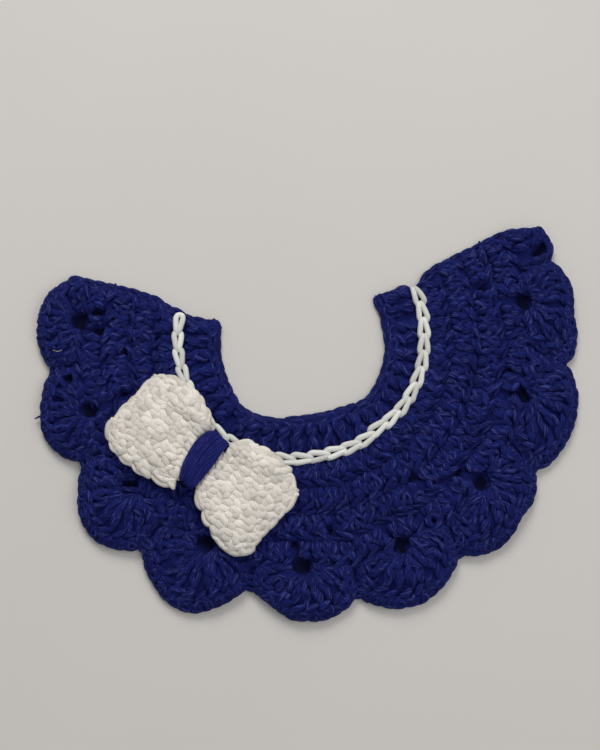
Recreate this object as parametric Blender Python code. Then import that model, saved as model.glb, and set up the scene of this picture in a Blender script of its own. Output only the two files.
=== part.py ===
"""A crochet collar laid flat: neck band, yoke, a scalloped border of shells, a surface
chain round the neck and a bow held by a thread wrap. Every piece is a closed solid."""
import math
from collections import namedtuple

import bmesh
import bpy
from mathutils import Vector

# Sizes are in millimetres and degrees. Angles run counterclockwise from +X about the
# middle of the neck: the collar goes from its left end, through its front at 270, to
# its right end.
MM = 0.001

WALL = 4.0          # the crocheted cloth, thick as two strands of the cotton
GAP = 0.3           # air between two pieces
RIDGE = 0.4         # a row's ridge above the cloth's mean face, and its groove below it
POST_RIB = 0.3      # a post above or below its row's face
END_DROP = 0.55     # height left at a cut end, as part of the full height

NECK_EDGE = (       # angle, radius of the edge round the neck
    (167, 29.8),
    (200, 30.1),
    (212, 30.9),
    (222, 32.0),
    (235, 32.1),
    (246, 30.5),
    (258, 29.0),
    (268, 27.4),
    (284, 26.8),
    (296, 27.7),
    (314, 30.4),
    (324, 30.3),
    (346, 29.6),
    (370, 28.6),
    (389, 29.2),
)
CHAIN_LINE = (      # angle, radius of the seam that the surface chain covers
    (163, 44.0),
    (188, 44.9),
    (224, 44.1),
    (262, 44.2),
    (293, 43.1),
    (308, 42.6),
    (350, 43.3),
    (375, 43.8),
    (392, 45.2),
)
LEFT_END = (        # radius, angle of the collar's left end
    (29.0, 167.5),
    (43.6, 166.8),
    (50.6, 166.0),
    (55.3, 163.2),
    (70.0, 162.2),
    (86.0, 163.8),
)
RIGHT_END = (       # radius, angle of the collar's right end
    (29.5, 389.4),
    (33.0, 392.0),
    (37.5, 390.8),
    (41.1, 386.8),
    (45.0, 385.0),
    (50.7, 388.7),
    (56.8, 390.4),
    (82.7, 389.2),
    (90.0, 388.0),
    (97.0, 385.6),
)

HOLE_CIRCLE = 81.0  # radius through the middles of the shells' holes
HOLE_RADIUS = 1.7
Shell = namedtuple("Shell", "hole_angle crown crown_place fullness notch_angle notch_radius")
LEFT_NOTCH = (163.9, 86.0)
SHELLS = (          # the notch is the one after the shell, counterclockwise
    Shell(174.8, 97.2, 0.46, 2.6, 187.2, 91.8),
    Shell(198.2, 99.4, 0.52, 2.1, 210.2, 90.8),
    Shell(221.1, 103.4, 0.55, 2.0, 233.2, 95.2),
    Shell(245.1, 105.2, 0.48, 2.0, 258.2, 90.8),
    Shell(269.9, 100.4, 0.55, 2.2, 281.8, 93.8),
    Shell(294.9, 102.5, 0.50, 2.2, 305.2, 95.6),
    Shell(320.8, 102.2, 0.42, 2.2, 329.8, 95.6),
    Shell(345.4, 101.2, 0.50, 2.2, 354.2, 95.2),
    Shell(370.4, 100.3, 0.62, 2.4, 378.3, 95.6),
)
TIP_EDGE = (        # angle, radius of the small end shell past the ninth
    (378.3, 95.6),
    (380.2, 97.9),
    (383.0, 98.7),
    (385.8, 97.6),
    (387.6, 93.4),
    (388.7, 88.6),
    (389.2, 84.4),
)
DOME = (            # part of the way from the hole to the rim, height of the top
    (0.00, 3.0),
    (0.16, 4.6),
    (0.42, 6.3),
    (0.66, 5.7),
    (0.80, 4.5),
    (0.90, 4.4),
    (1.00, 1.7),
)
FLAT_BASE = (       # the same, along the line where a shell meets the yoke
    (0.00, 3.0),
    (0.16, 4.2),
    (0.80, 4.2),
    (1.00, 2.8),
)
RIM_START = 0.78    # from here out the border lies on the ground
FAN_SIDE_COLUMNS = 4
FAN_MIDDLE_COLUMNS = 10
FAN_ROWS = 6
FAN_SEARCH_STEP = 0.2

BAND_PROFILE = (    # part of the way out across the neck band, height of the top
    (0.00, 1.6),
    (0.14, 3.6),
    (0.36, 4.2),
    (0.62, 4.3),
    (0.84, 4.2),
    (1.00, 3.6),
)
BAND_POSTS = 26
YOKE_ROWS = 4
CELLS_A_ROW = 3
SECTOR_COLUMNS = 6  # yoke columns under one shell

LINKS = 26
LINK_CELLS = 4
LINK_WIDE = 2.2     # half width of the chain where a link is widest
LINK_NARROW = 1.5
LINK_HEIGHT = 1.6
CHAIN_START = 168.3
CHAIN_STOP = 384.0

BOW_RADIUS = 56.9   # the bow's waist, from the middle of the neck
BOW_ANGLE = 232.2
BOW_TURN = -41.8    # the bow's long axis from +X
WAIST_LIFT = 1.7    # the waist stands on the thread wrap that goes under it
WAIST_HALF = 9.0
WAIST_THICK = 4.0
Section = namedtuple("Section", "along low high lift thick")
BOW_SECTIONS = (
    Section(-34.0, -10.5, 7.2, 0.9, 2.0),
    Section(-32.8, -14.2, 10.8, 0.2, 3.8),
    Section(-28.8, -17.6, 14.2, 0.0, 4.8),
    Section(-24.0, -18.9, 16.2, 0.0, 5.4),
    Section(-18.0, -18.6, 16.4, 0.0, 5.6),
    Section(-12.0, -17.2, 14.8, 0.0, 5.4),
    Section(-8.0, -15.2, 13.0, 0.3, 5.0),
    Section(-6.6, -14.4, 12.2, 0.9, 4.6),
    Section(-5.8, -WAIST_HALF, WAIST_HALF, WAIST_LIFT, WAIST_THICK),
    Section(-0.8, -WAIST_HALF, WAIST_HALF, WAIST_LIFT, WAIST_THICK),
    Section(4.2, -WAIST_HALF, WAIST_HALF, WAIST_LIFT, WAIST_THICK),
    Section(5.1, -11.0, 13.6, 0.9, 4.6),
    Section(7.4, -12.2, 15.6, 0.3, 5.0),
    Section(12.0, -14.6, 17.2, 0.0, 5.4),
    Section(17.5, -16.2, 18.3, 0.0, 5.6),
    Section(23.0, -17.4, 17.8, 0.0, 5.4),
    Section(28.0, -17.4, 15.4, 0.0, 4.8),
    Section(31.6, -15.4, 12.4, 0.2, 3.8),
    Section(32.8, -10.5, 7.8, 0.9, 2.0),
)
LEANS = (           # place along the bow, lean of its sections beside the wrap
    (-20.0, 0.0),
    (-12.0, -0.12),
    (-6.6, -0.33),
    (-5.8, -0.27),
    (-0.8, -0.16),
    (4.2, -0.07),
    (20.0, 0.0),
)
LEAN_STOP = 3.0     # past this place across the bow the sections lean no more
BOW_ROWS = 8
EDGE_HALF = 0.4     # half thickness left at the bow's rounded edge

WRAP_THICK = 1.2
WRAP_CLEAR = 0.4    # between the waist and the wrap
Turn = namedtuple("Turn", "up centre half")
WRAP_PATH = (       # up the waist: the middle of the threads, half of their spread
    Turn(-10.6, 1.0, 2.7),
    Turn(-8.0, 0.55, 3.75),
    Turn(-5.0, -0.15, 4.4),
    Turn(0.0, -0.85, 4.9),
    Turn(3.0, -1.25, 5.0),
    Turn(7.0, -1.35, 4.6),
    Turn(9.0, -1.1, 4.2),
    Turn(10.6, -0.6, 3.4),
)
WRAP_SEGMENTS = 28
WRAP_SIDES = 8

NAVY = (0.012, 0.018, 0.095, 1)
WARM_WHITE = (0.72, 0.68, 0.60, 1)
CHAIN_WHITE = (0.74, 0.74, 0.70, 1)
THREAD_BLUE = (0.020, 0.022, 0.20, 1)


def read(table, place):
    """The table's second column at this place of its first, straight between rows."""
    for (near, first), (far, second) in zip(table, table[1:]):
        if place <= far:
            part = max(0.0, (place - near) / (far - near))
            return first + (second - first) * part
    return table[-1][1]


def blend(start, stop, part):
    return start + (stop - start) * part


def smooth(part):
    part = min(1.0, max(0.0, part))
    return part * part * (3 - 2 * part)


def polar(radius, angle):
    turn = math.radians(angle)
    return Vector((radius * math.cos(turn), radius * math.sin(turn)))


def angle_of(point):
    """The point's angle, counted on past 360 for the right end."""
    angle = math.degrees(math.atan2(point.y, point.x)) % 360
    return angle if angle > 90 else angle + 360


def cotton(name, colour):
    material = bpy.data.materials.new(name)
    material.use_nodes = True
    shader = material.node_tree.nodes["Principled BSDF"]
    shader.inputs["Base Color"].default_value = colour
    shader.inputs["Roughness"].default_value = 0.85
    shader.inputs["Metallic"].default_value = 0.0
    return material


def add_piece(name, mesh, material, collection):
    mesh.materials.append(material)
    piece = bpy.data.objects.new(name, mesh)
    collection.objects.link(piece)
    return piece


def cloth_wall(name, columns, rows, point):
    """A closed wall: a flat grid is extruded, and point(column, row, is_top) lays each
    corner of both its sheets. Columns and rows count from 0."""
    bm = bmesh.new()
    bmesh.ops.create_grid(bm, x_segments=columns, y_segments=rows, size=0.5)
    raised = bmesh.ops.extrude_face_region(bm, geom=list(bm.faces))["geom"]
    top = {corner for corner in raised if isinstance(corner, bmesh.types.BMVert)}
    for corner in bm.verts:
        column = round((corner.co.x + 0.5) * columns)
        row = round((corner.co.y + 0.5) * rows)
        corner.co = Vector(point(column, row, corner in top)) * MM
    bmesh.ops.recalc_face_normals(bm, faces=bm.faces)
    mesh = bpy.data.meshes.new(name)
    bm.to_mesh(mesh)
    bm.free()
    return mesh


def end_height(column, columns):
    """Heights are lower at the two cut ends of the cloth."""
    return END_DROP if column in (0, columns) else 1.0


def neck_band():
    """The first row, with one rib for each post, from the neck's edge to the chain."""
    columns = BAND_POSTS * 2
    rows = len(BAND_PROFILE) - 1

    def point(column, row, is_top):
        part, height = BAND_PROFILE[row]
        angle = blend(LEFT_END[0][1], RIGHT_END[0][1], column / columns)
        inner = read(NECK_EDGE, angle)
        outer = read(CHAIN_LINE, angle) - GAP / 2
        radius = blend(inner, outer, part)
        angle = blend(read(LEFT_END, radius), read(RIGHT_END, radius), column / columns)
        if 0 < row < rows:
            height += POST_RIB if column % 2 else -POST_RIB
        height *= end_height(column, columns)
        return (*polar(radius, angle), height if is_top else 0.0)

    return cloth_wall("neck_band", columns, rows, point)


def shell_sides(index):
    """Angles where a shell starts and stops on the yoke."""
    holes = [shell.hole_angle for shell in SHELLS]
    start = blend(holes[index - 1], holes[index], 0.5) if index else LEFT_NOTCH[0]
    if index + 1 < len(holes):
        return start, blend(holes[index], holes[index + 1], 0.5)
    return start, tip_start()


def tip_start():
    """The angle where the end shell starts, as far past the last hole as its notch is."""
    return SHELLS[-1].notch_angle - 1.2


def base_line(angle):
    """Radius of the straight line at this angle where the shells meet the yoke."""
    for index, shell in enumerate(SHELLS):
        if angle <= shell_sides(index)[1] + 1e-6:
            return HOLE_CIRCLE / math.cos(math.radians(angle - shell.hole_angle))
    reach = tip_start() - SHELLS[-1].hole_angle
    return HOLE_CIRCLE / math.cos(math.radians(reach))


def yoke_angles():
    """Angles of the yoke's columns, so that each shell's hole and sides lie on one."""
    angles = []
    for index in range(len(SHELLS)):
        start, stop = shell_sides(index)
        angles += [blend(start, stop, step / SECTOR_COLUMNS) for step in range(SECTOR_COLUMNS)]
    tip = tip_start()
    last = read(RIGHT_END, HOLE_CIRCLE)
    return angles + [tip, blend(tip, last, 0.35), blend(tip, last, 0.7), last]


def yoke():
    """Four rows of double crochet, each with a ridge at its top and a groove below."""
    outer_angles = yoke_angles()
    columns = len(outer_angles) - 1
    rows = YOKE_ROWS * CELLS_A_ROW
    first, last = outer_angles[0], outer_angles[-1]

    def point(column, row, is_top):
        outer_angle = outer_angles[column]
        outer = base_line(outer_angle) - GAP
        inner = read(CHAIN_LINE, outer_angle) + GAP / 2
        radius = blend(inner, outer, row / rows)
        across = (outer_angle - first) / (last - first)
        end_angle = blend(read(LEFT_END, radius), read(RIGHT_END, radius), across)
        angle = blend(end_angle, outer_angle, smooth(row / rows))
        height = WALL + (-RIDGE if row % CELLS_A_ROW == 0 else RIDGE)
        height *= end_height(column, columns)
        return (*polar(radius, angle), height if is_top else 0.0)

    return cloth_wall("yoke", columns, rows, point)


def outline(index, angle):
    """Radius of a shell's scalloped edge at this angle."""
    shell = SHELLS[index]
    before = (SHELLS[index - 1].notch_angle, SHELLS[index - 1].notch_radius) if index else LEFT_NOTCH
    across = (angle - before[0]) / (shell.notch_angle - before[0])
    across = min(1.0, max(0.0, across))
    foot = blend(before[1], shell.notch_radius, across)
    half = shell.crown_place if across < shell.crown_place else 1 - shell.crown_place
    away = abs(across - shell.crown_place) / half
    return foot + (shell.crown - foot) * (1 - away ** shell.fullness)


class SeamLine:
    """The straight seam between two shells, from the yoke out to their notch."""

    def __init__(self, base, notch, inner_point):
        along = (notch - base).normalized()
        self.inward = Vector((-along.y, along.x))
        if self.inward.dot(inner_point - base) < 0:
            self.inward.negate()
        self.base = base
        self.notch = notch + self.inward * GAP / 2

    def clears(self, point):
        return (point - self.base).dot(self.inward) > GAP / 2


def shell(index):
    """A fan of posts round a hole: it rises in a dome and curls down to its rim."""
    row_of = SHELLS[index]
    hole = polar(HOLE_CIRCLE, row_of.hole_angle)
    start, stop = shell_sides(index)
    before = (SHELLS[index - 1].notch_angle, SHELLS[index - 1].notch_radius) if index else LEFT_NOTCH
    seams = [
        SeamLine(polar(base_line(start), start), polar(before[1], before[0]), hole),
        SeamLine(polar(base_line(stop), stop), polar(row_of.notch_radius, row_of.notch_angle), hole),
    ]
    turns = [angle_of(seam.notch - hole) - row_of.hole_angle for seam in seams]
    turns = [(turn + 180) % 360 - 180 for turn in turns]
    stops = (-90.0, turns[0], turns[1], 90.0)
    counts = (FAN_SIDE_COLUMNS, FAN_MIDDLE_COLUMNS, FAN_SIDE_COLUMNS)
    fan = [
        blend(stops[part], stops[part + 1], step / count)
        for part, count in enumerate(counts)
        for step in range(count)
    ] + [90.0]

    def inside(point):
        return all(seam.clears(point) for seam in seams) and point.length < outline(index, angle_of(point))

    def reach(turn):
        out = polar(1.0, row_of.hole_angle + turn)
        if turn in turns:
            return (seams[turns.index(turn)].notch - hole).length
        far = HOLE_RADIUS
        while inside(hole + out * (far + FAN_SEARCH_STEP)):
            far += FAN_SEARCH_STEP
        return far

    reaches = [reach(turn) if abs(turn) < 90 else reach(turn * 0.995) for turn in fan]
    columns = len(fan) - 1

    def point(column, row, is_top):
        turn = fan[column]
        part = (row / FAN_ROWS) ** 0.85
        place = hole + polar(blend(HOLE_RADIUS, reaches[column], part), row_of.hole_angle + turn)
        facing = math.cos(math.radians(turn)) ** 0.6 if abs(turn) < 89.9 else 0.0
        height = blend(read(FLAT_BASE, part), read(DOME, part), facing)
        at_edge = row in (0, FAN_ROWS) or column in (0, columns)
        lifted = 0.0 if at_edge or part > RIM_START else max(0.0, height - WALL)
        if not at_edge:
            height += POST_RIB if column % 2 else -POST_RIB
        return (*place, height if is_top else lifted)

    return cloth_wall(f"shell_{index + 1:02d}", columns, FAN_ROWS, point)


def tip_shell():
    """The small end shell that closes the border at the right end."""
    columns, rows = len(TIP_EDGE) - 1, 5
    start, last = tip_start(), read(RIGHT_END, HOLE_CIRCLE)
    notch = polar(SHELLS[-1].notch_radius, SHELLS[-1].notch_angle)
    side = SeamLine(polar(base_line(start), start), notch, polar(HOLE_CIRCLE, last))

    def point(column, row, is_top):
        across = column / columns
        part = row / rows
        base_angle = blend(start, last, across)
        edge_angle, edge_radius = TIP_EDGE[column]
        place = polar(base_line(base_angle), base_angle).lerp(polar(edge_radius, edge_angle), part)
        if column == 0:
            place = side.base.lerp(notch, part) + side.inward * GAP / 2
        height = blend(read(FLAT_BASE, part), read(DOME, part), 0.5 * math.sin(math.pi * across))
        height *= end_height(column, columns)
        return (*place, height if is_top else 0.0)

    return cloth_wall(f"shell_{len(SHELLS) + 1:02d}", columns, rows, point)


def chain_trim():
    """A chain worked on the face over the seam of band and yoke, wider at each link."""
    columns = LINKS * LINK_CELLS
    profile = ((-1.0, 0.5), (-0.5, 1.0), (0.5, 1.0), (1.0, 0.5))

    def point(column, row, is_top):
        angle = blend(CHAIN_START, CHAIN_STOP, column / columns)
        link = 0.5 - 0.5 * math.cos(2 * math.pi * column / LINK_CELLS)
        side, height = profile[row]
        radius = read(CHAIN_LINE, angle) + side * blend(LINK_NARROW, LINK_WIDE, link)
        floor = WALL + GAP + POST_RIB
        return (*polar(radius, angle), floor + LINK_HEIGHT * height if is_top else floor)

    return cloth_wall("chain_trim", columns, len(profile) - 1, point)


def bow_frame():
    """The waist's middle and the two directions of the bow on the collar."""
    axis = polar(1.0, BOW_TURN)
    return polar(BOW_RADIUS, BOW_ANGLE), axis, Vector((-axis.y, axis.x))


def seat(place):
    """Height of the bow's underside, which lies on the yoke and over the chain."""
    beyond = place.length - read(CHAIN_LINE, angle_of(place))
    over_chain = 1 - smooth((beyond - 3.0) / 5.0)
    return WALL + RIDGE + GAP + over_chain * (LINK_HEIGHT + GAP)


def rounded(part, power):
    return (1 - min(1.0, abs(part)) ** power) ** 0.5


def bow():
    """One crocheted strip drawn in at its waist, so that it stands out as two wings."""
    middle, axis, across = bow_frame()

    def point(column, row, is_top):
        section = BOW_SECTIONS[column]
        part = 0.5 - 0.5 * math.cos(math.pi * row / BOW_ROWS)
        side = blend(section.low, section.high, part)
        lean = read(LEANS, section.along) * min(side, LEAN_STOP)
        place = middle + axis * (section.along + lean) + across * side
        floor = seat(middle) if section.lift == WAIST_LIFT else seat(place)
        half = max(EDGE_HALF, section.thick / 2 * rounded(2 * part - 1, 4))
        level = floor + section.lift + section.thick / 2
        return (*place, level + half if is_top else level - half)

    return cloth_wall("bow", len(BOW_SECTIONS) - 1, BOW_ROWS, point)


def bow_wrap():
    """The thread wound round the waist: a ring whose turns lie side by side."""
    bpy.ops.mesh.primitive_torus_add(
        major_segments=WRAP_SEGMENTS, minor_segments=WRAP_SIDES, major_radius=1.0, minor_radius=0.25
    )
    ring = bpy.context.object
    mesh = ring.data
    middle, axis, across = bow_frame()
    level = seat(middle) + WAIST_LIFT + WAIST_THICK / 2
    for corner in mesh.vertices:
        x, y, z = corner.co
        spread = math.hypot(x, y)
        round_y, round_z = x / spread, y / spread
        out = math.copysign(abs((spread - 1) / 0.25) ** 0.5, spread - 1) if spread != 1 else 0.0
        wide = math.copysign(abs(z / 0.25) ** 0.5, z)
        stand_off = WRAP_CLEAR + WRAP_THICK / 2 * (1 + out)
        up_waist = (WAIST_HALF + stand_off) * math.copysign(abs(round_y) ** 0.5, round_y)
        centre = read([(turn.up, turn.centre) for turn in WRAP_PATH], up_waist)
        half = read([(turn.up, turn.half) for turn in WRAP_PATH], up_waist)
        along = centre + wide * half
        place = middle + axis * along + across * up_waist
        height = level + (WAIST_THICK / 2 + stand_off) * round_z
        corner.co = Vector((*place, height)) * MM
    bm = bmesh.new()
    bm.from_mesh(mesh)
    bmesh.ops.recalc_face_normals(bm, faces=bm.faces)
    solid = bpy.data.meshes.new("bow_wrap")
    bm.to_mesh(solid)
    bm.free()
    bpy.data.objects.remove(ring)
    return solid


def centre_on_ground(pieces):
    """Puts the middle of the collar's box, on the ground, at the origin."""
    corners = [corner.co for piece in pieces for corner in piece.data.vertices]
    low = Vector((min(co.x for co in corners), min(co.y for co in corners), 0.0))
    high = Vector((max(co.x for co in corners), max(co.y for co in corners), 0.0))
    middle = (low + high) / 2
    for piece in pieces:
        for corner in piece.data.vertices:
            corner.co -= middle
    return middle


def build():
    for old in list(bpy.data.objects):
        bpy.data.objects.remove(old)
    collection = bpy.data.collections.new("crochet_collar")
    bpy.context.scene.collection.children.link(collection)
    navy = [neck_band(), yoke()]
    navy += [shell(index) for index in range(len(SHELLS))]
    navy.append(tip_shell())
    pieces = [
        add_piece(mesh.name, mesh, cotton(f"navy_cotton_{mesh.name}", NAVY), collection)
        for mesh in navy
    ]
    white = cotton("white_cotton_chain", CHAIN_WHITE)
    pieces.append(add_piece("chain_trim", chain_trim(), white, collection))
    pieces.append(add_piece("bow", bow(), cotton("warm_white_cotton", WARM_WHITE), collection))
    blue = cotton("blue_thread", THREAD_BLUE)
    pieces.append(add_piece("bow_wrap", bow_wrap(), blue, collection))
    for piece in pieces:
        piece.data.shade_flat()
    middle = centre_on_ground(pieces)
    print("neck middle in the part's frame, mm:", tuple(round(-value / MM, 2) for value in middle))


build()
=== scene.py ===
"""Looks of a crochet collar laid flat. Every stitch is a strand of plied cotton swept
along its own path over the collar's solids, and a thin cloth closes the fabric behind;
the cloth is darker than the stitches, painted shade in the gaps between them."""
import math

import bpy
import numpy as np
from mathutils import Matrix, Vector
from mathutils.bvhtree import BVHTree


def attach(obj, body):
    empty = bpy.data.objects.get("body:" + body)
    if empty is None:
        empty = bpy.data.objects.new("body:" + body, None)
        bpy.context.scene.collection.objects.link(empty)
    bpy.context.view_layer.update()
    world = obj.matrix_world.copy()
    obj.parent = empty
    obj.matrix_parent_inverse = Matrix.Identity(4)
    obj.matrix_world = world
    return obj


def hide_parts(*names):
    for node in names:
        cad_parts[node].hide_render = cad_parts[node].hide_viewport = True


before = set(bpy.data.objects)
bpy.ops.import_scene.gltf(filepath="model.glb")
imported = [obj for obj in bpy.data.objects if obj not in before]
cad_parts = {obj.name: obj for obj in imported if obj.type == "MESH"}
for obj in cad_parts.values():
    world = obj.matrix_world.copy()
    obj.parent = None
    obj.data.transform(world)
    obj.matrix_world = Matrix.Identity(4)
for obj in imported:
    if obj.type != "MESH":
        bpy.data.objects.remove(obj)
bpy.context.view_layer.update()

# Lengths are in millimetres and angles in degrees about the middle of the neck, unless
# a name says otherwise. The frame is in metres.
MM = 0.001
NECK = np.array([-1.34, 28.5])  # middle of the neck in the part's frame
STRAND = 1.12  # radius of the collar's cotton
LOWEST = 0.98  # lowest middle of a strand over the ground
UNDERSIDE_DEPTH = 0.35  # share of the face's depth that the underside's stitches have
HOLE_CIRCLE = 81.0  # radius through the middles of the shells' holes
SHELL_HOLE = 2.75  # opening of a shell's hole
HOLE_ANGLES = (175.2, 198.9, 221.3, 245.1, 269.6, 294.7, 320.4, 345.4, 369.8)
NOTCH_ANGLES = (187.2, 210.2, 233.2, 258.2, 281.8, 305.2, 329.8, 354.2)
BOW_PLACE = (56.9, 232.2)  # radius and angle of the bow's waist
BOW_TURN = -41.8  # angle of the bow's long way
BOW_EDGES = (  # place along the bow and its two sides across it
    (-34.0, -10.5, 7.2), (-32.8, -14.2, 10.8), (-28.8, -17.6, 14.2), (-24.0, -18.9, 16.2),
    (-18.0, -18.6, 16.4), (-12.0, -17.2, 14.8), (-8.0, -15.2, 13.0), (-6.6, -14.4, 12.2),
    (-5.8, -9.0, 9.0), (4.2, -9.0, 9.0), (5.1, -11.0, 13.6), (7.4, -12.2, 15.6),
    (12.0, -14.6, 17.2), (17.5, -16.2, 18.3), (23.0, -17.4, 17.8), (28.0, -17.4, 15.4),
    (31.6, -15.4, 12.4), (32.8, -10.5, 7.8),
)
BOW_LEANS = (  # place along the bow, lean of its rows beside the wrap
    (-20.0, 0.0), (-12.0, -0.12), (-6.6, -0.33), (-5.8, -0.27), (-0.8, -0.16), (4.2, -0.07),
    (20.0, 0.0),
)
WRAP_PATH = (  # up the waist, middle of the threads, half of their spread
    (-10.6, 1.0, 2.7), (-8.0, 0.55, 3.75), (-5.0, -0.15, 4.4), (0.0, -0.85, 4.9),
    (3.0, -1.25, 5.0), (7.0, -1.35, 4.6), (9.0, -1.1, 4.2), (10.6, -0.6, 3.4),
)
CHAIN_LINE = (  # angle, radius of the surface chain
    (163, 44.0), (188, 44.9), (224, 44.1), (262, 44.2), (293, 43.1),
    (308, 42.6), (350, 43.3), (375, 43.8), (392, 45.2),
)
EYELETS = (  # angle, radius and opening of the small gaps between posts
    (172.5, 75.6, 1.4), (177.6, 74.2, 1.5), (190.0, 85.2, 1.4), (351.0, 74.7, 1.2),
    (318.5, 73.1, 1.5), (307.3, 63.6, 1.2), (304.9, 79.7, 1.0), (277.2, 69.0, 1.3),
    (184.4, 64.8, 1.2), (267.7, 73.8, 1.2), (194.4, 89.5, 1.0), (196.7, 67.1, 1.0),
    (301.5, 72.9, 1.0), (375.9, 68.0, 1.1), (179.4, 52.5, 1.0),
)
TIP_HOLE = (  # the same for the end shell's long hole
    (381.0, 92.2, 1.3), (381.4, 94.2, 1.2),
)
RIM_SHIFT = (  # angle, how much farther out than its solid the rim lies
    (167, -1.8), (176, -0.3), (184, 0.0), (190, -1.2), (194, -1.3), (200, -0.3), (208, 0.0),
    (215, -1.9), (221, -0.8), (228, 0.0), (240, -0.4), (248, 0.6), (253, -0.9), (262, -2.2),
    (268, 0.0), (294, 0.0), (303, -1.0), (311, 0.0), (320, -1.9), (325, 0.2), (343, 0.4),
    (350, 1.2), (356, 1.4), (360, 0.4), (365, -1.9), (370, 0.0), (380, 0.5),
)

NAVY_NODES = ["neck_band", "yoke"] + [f"shell_{count:02d}" for count in range(1, 11)]
rng = np.random.default_rng(20)


# Heights of the solids

class Relief:
    """Heights of the top and the underside of some solids, read on a square grid."""

    STEP = 0.5
    PAD = 6.0

    def __init__(self, names, blur):
        corners, faces, owner_of = [], [], []
        for index, name in enumerate(names):
            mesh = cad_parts[name].data
            start = len(corners)
            corners += [corner.co.copy() for corner in mesh.vertices]
            faces += [[start + i for i in face.vertices] for face in mesh.polygons]
            owner_of += [index] * len(mesh.polygons)
        tree = BVHTree.FromPolygons(corners, faces)
        places = np.array(corners)[:, :2] / MM
        self.low = places.min(0) - self.PAD
        self.size = np.ceil((places.max(0) + self.PAD - self.low) / self.STEP).astype(int)
        self.top = np.full(self.size, np.nan)
        self.under = np.full(self.size, np.nan)
        self.owner = np.full(self.size, -1)
        down, up = Vector((0, 0, -1)), Vector((0, 0, 1))
        for i in range(self.size[0]):
            x = (self.low[0] + i * self.STEP) * MM
            for j in range(self.size[1]):
                y = (self.low[1] + j * self.STEP) * MM
                hit, _, face, _ = tree.ray_cast(Vector((x, y, 1)), down)
                if hit is None:
                    continue
                self.top[i, j] = hit.z / MM
                self.owner[i, j] = owner_of[face]
                hit, _, face, _ = tree.ray_cast(Vector((x, y, -1)), up)
                self.under[i, j] = hit.z / MM
        self.cloth = self.closed(self.owner >= 0)
        self.owner = self.spread(np.where(self.owner < 0, np.nan, self.owner), 1)
        self.top = self.soften(self.spread(self.top, 14), blur)
        self.under = self.soften(self.spread(self.under, 14), blur)

    @staticmethod
    def shifted(field):
        """The field moved by one cell each way."""
        padded = np.pad(field, 1, mode="edge")
        return [padded[1 + a:padded.shape[0] - 1 + a, 1 + b:padded.shape[1] - 1 + b]
                for a in (-1, 0, 1) for b in (-1, 0, 1)]

    def closed(self, mask):
        """Fills the seams between solids, one cell wide, in the mask."""
        wide = np.any(self.shifted(mask), axis=0)
        return np.all(self.shifted(wide), axis=0)

    def spread(self, field, times):
        """Carries the field's values outward into the cells that have none."""
        field = field.astype(float)
        for _ in range(times):
            around = np.array(self.shifted(field))
            near = np.max(np.where(np.isnan(around), -np.inf, around), axis=0)
            field = np.where(np.isnan(field), near, field)
            field[np.isinf(field)] = np.nan
        return field

    def soften(self, field, times):
        field = np.where(np.isnan(field), 0.0, field)
        for _ in range(times):
            field = np.mean(self.shifted(field), axis=0)
        return field

    def cells(self, places):
        at = (places - self.low) / self.STEP
        return np.clip(at, 0, self.size - 1.001)

    def read(self, field, places):
        """The field at these places, straight between its cells."""
        at = self.cells(places)
        i, j = np.moveaxis(at.astype(int), -1, 0)
        right, up = at[..., 0] - i, at[..., 1] - j
        total = (1 - right) * (1 - up) * field[i, j] + (1 - right) * up * field[i, j + 1]
        return total + right * (1 - up) * field[i + 1, j] + right * up * field[i + 1, j + 1]

    def nearest(self, field, places):
        i, j = np.moveaxis(np.round(self.cells(places)).astype(int), -1, 0)
        return field[i, j]

    def inside(self, places):
        return self.nearest(self.cloth, places)


collar = Relief(NAVY_NODES, 3)
bow_relief = Relief(["bow"], 2)


# Places and directions on the collar

def toward(angle):
    """The direction at this angle."""
    turn = np.radians(angle)
    return np.stack([np.cos(turn), np.sin(turn)], axis=-1)


def across(direction):
    """The direction a quarter turn to the left."""
    return np.stack([-direction[..., 1], direction[..., 0]], axis=-1)


def polar(radius, angle):
    return NECK + np.asarray(radius)[..., None] * toward(angle)


def tangents(angles):
    return across(toward(angles))


def headings(line):
    """The directions along a line of places."""
    steps = np.gradient(line, axis=0)
    return steps / np.linalg.norm(steps, axis=1, keepdims=True)


def lengths(line):
    """How far along a line of places each of them is."""
    return np.concatenate([[0], np.cumsum(np.linalg.norm(np.diff(line, axis=0), axis=1))])


BOW_MIDDLE = polar(*BOW_PLACE)
BOW_AXIS = toward(BOW_TURN)
BOW_ACROSS = across(BOW_AXIS)
SEARCH = 0.2  # step of the searches for an edge
FARTHEST = 34.0  # no shell reaches farther than this from its hole
HALF_SHELL = 12.3  # half of the angle that a shell's straight foot takes
BAND_INNER = 31.2  # the neck's radius, and the outer one, where no cloth is found
NO_EDGE = 84.0


def chain_radius(angle):
    return np.interp(angle, *zip(*CHAIN_LINE))


def rim_shift(angle):
    return np.interp(angle, *zip(*RIM_SHIFT))


def last_held(values, held):
    """The last value at which there is cloth."""
    return values[len(values) - 1 - np.argmax(held[::-1])]


def ends(radius):
    """The collar's first and last angles at this radius, read from its solids."""
    left = np.arange(150.0, 200.0, SEARCH)
    right = np.arange(350.0, 400.0, SEARCH)
    first = left[np.argmax(collar.inside(polar(radius, left)))]
    return first, last_held(right, collar.inside(polar(radius, right)))


def shell_reach(hole, direction, owner):
    """How far one shell's solid reaches from its hole in a direction."""
    steps = np.arange(2.5, FARTHEST, SEARCH)
    held = collar.nearest(collar.owner, hole + steps[:, None] * direction) == owner
    gone = np.nonzero(~held)[0]
    return steps[gone[0]] if len(gone) else FARTHEST


def edge_radius(angle):
    """Radius of the neck's edge at this angle, read from the solids."""
    radii = np.arange(24.0, 40.0, SEARCH)
    held = collar.inside(polar(radii, angle))
    return radii[np.argmax(held)] if held.any() else BAND_INNER


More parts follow.
